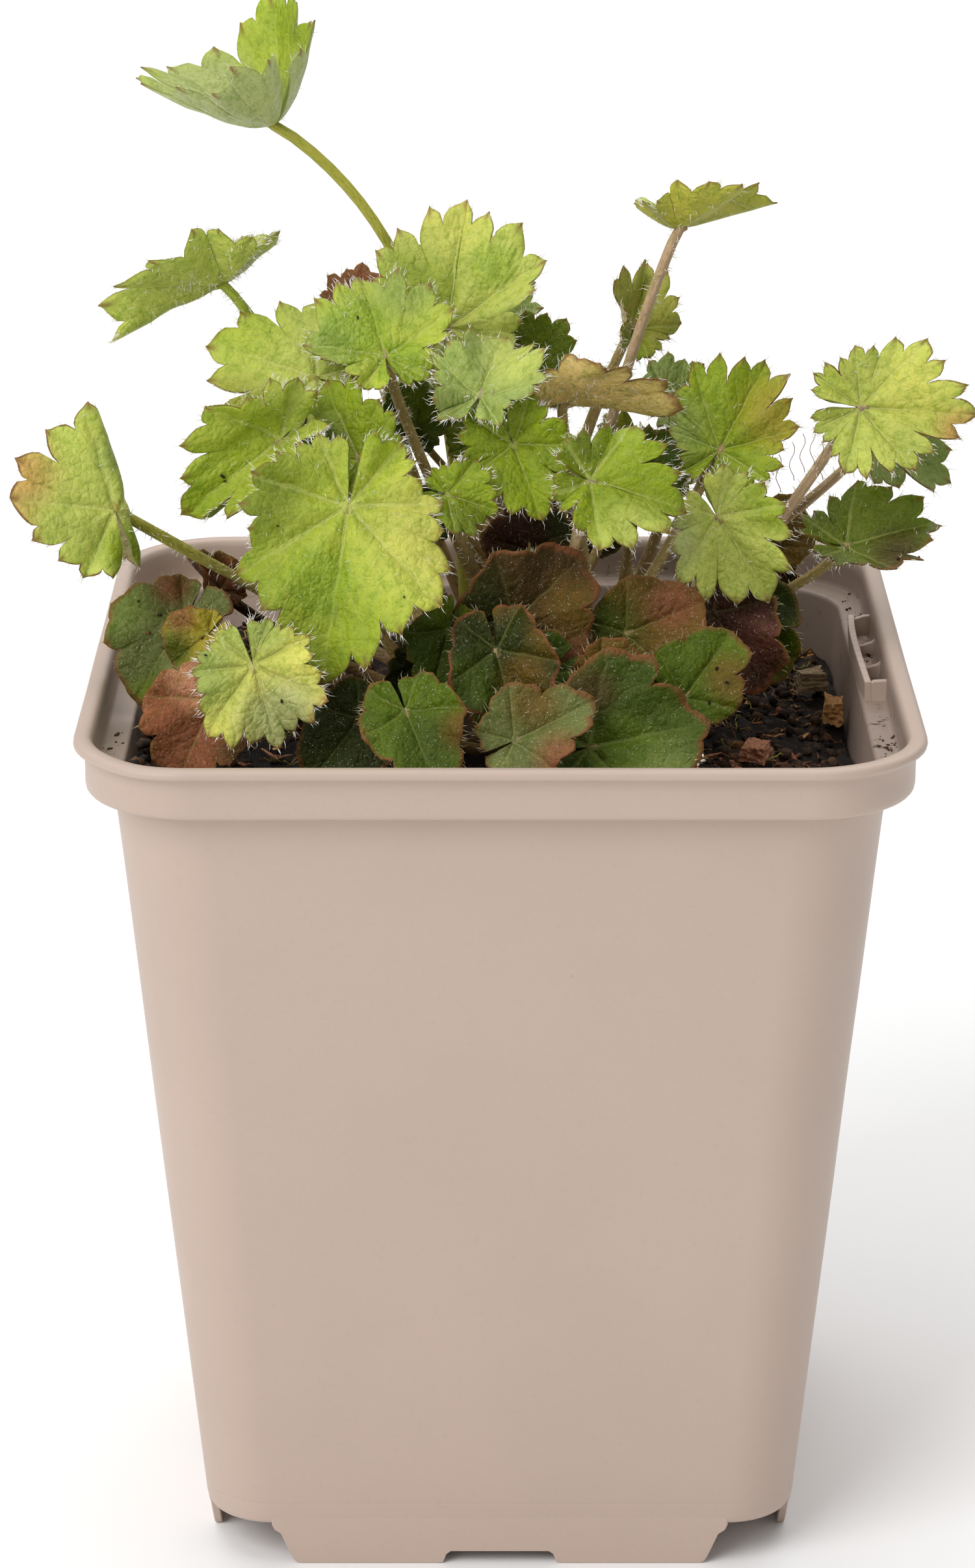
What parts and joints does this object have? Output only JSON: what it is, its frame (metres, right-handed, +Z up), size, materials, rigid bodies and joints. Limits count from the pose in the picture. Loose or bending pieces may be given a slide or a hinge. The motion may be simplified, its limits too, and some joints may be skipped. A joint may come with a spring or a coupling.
{
  "type": "heuchera plant",
  "caption": "Young heuchera plant with lobed, toothed leaves on thin stalks, growing in a square taupe nursery pot filled with compost.",
  "frame": {"origin": "on the surface the pot stands on, under the middle of the pot", "axes": "+Z up, +Y away from the viewer of the picture, +X to the viewer's right; the pot's walls face along X and Y"},
  "size_m": [0.1057, 0.09, 0.1668],
  "materials": {
    "pot_plastic": "satin taupe plastic",
    "compost": "rough, dark and crumbly",
    "crown_wood": "rough brown rootstock",
    "young_leaf": "soft yellow-green, hairy",
    "grown_leaf": "soft mid green, hairy",
    "dark_leaf": "thick dark green",
    "bronze_leaf": "thick bronze-brown",
    "red_leaf": "thick dark red",
    "dry_leaf": "dried red-brown",
    "bark": "split orange bark"
  },
  "bodies": {
    "root": {"pot": "pot_plastic", "potting_soil": "compost", "crown": "crown_wood", "upper_leaf_01": "young_leaf", "upper_leaf_02": "young_leaf", "upper_leaf_03": "young_leaf", "upper_leaf_04": "young_leaf", "upper_leaf_05": "young_leaf", "upper_leaf_06": "young_leaf", "upper_leaf_07": "young_leaf", "upper_leaf_08": "young_leaf", "upper_leaf_09": "young_leaf", "upper_leaf_10": "young_leaf", "upper_leaf_11": "grown_leaf", "upper_leaf_12": "young_leaf", "upper_leaf_13": "grown_leaf", "upper_leaf_14": "young_leaf", "upper_leaf_15": "grown_leaf", "upper_leaf_16": "grown_leaf", "upper_leaf_17": "young_leaf", "upper_leaf_18": "grown_leaf", "upper_leaf_19": "grown_leaf", "upper_leaf_20": "grown_leaf", "upper_leaf_21": "grown_leaf", "upper_leaf_22": "bronze_leaf", "upper_leaf_23": "grown_leaf", "upper_leaf_24": "bronze_leaf", "upper_leaf_25": "dark_leaf", "upper_leaf_26": "dark_leaf", "upper_leaf_27": "young_leaf", "lower_leaf_01": "dark_leaf", "lower_leaf_02": "dry_leaf", "lower_leaf_03": "bronze_leaf", "lower_leaf_04": "dry_leaf", "lower_leaf_05": "dark_leaf", "lower_leaf_06": "bronze_leaf", "lower_leaf_07": "dark_leaf", "lower_leaf_08": "dark_leaf", "lower_leaf_09": "bronze_leaf", "lower_leaf_10": "dark_leaf", "lower_leaf_11": "bronze_leaf", "lower_leaf_12": "dark_leaf", "lower_leaf_13": "red_leaf", "lower_leaf_14": "dark_leaf", "lower_leaf_15": "bronze_leaf", "lower_leaf_16": "bronze_leaf", "lower_leaf_17": "bronze_leaf", "lower_leaf_18": "red_leaf", "back_leaf_01": "young_leaf", "back_leaf_02": "young_leaf", "back_leaf_03": "grown_leaf", "back_leaf_04": "dark_leaf", "back_leaf_05": "bronze_leaf", "back_leaf_06": "dark_leaf", "bark_chip_01": "bark", "bark_chip_02": "bark", "bark_chip_03": "bark"}
  },
  "joints": []
}
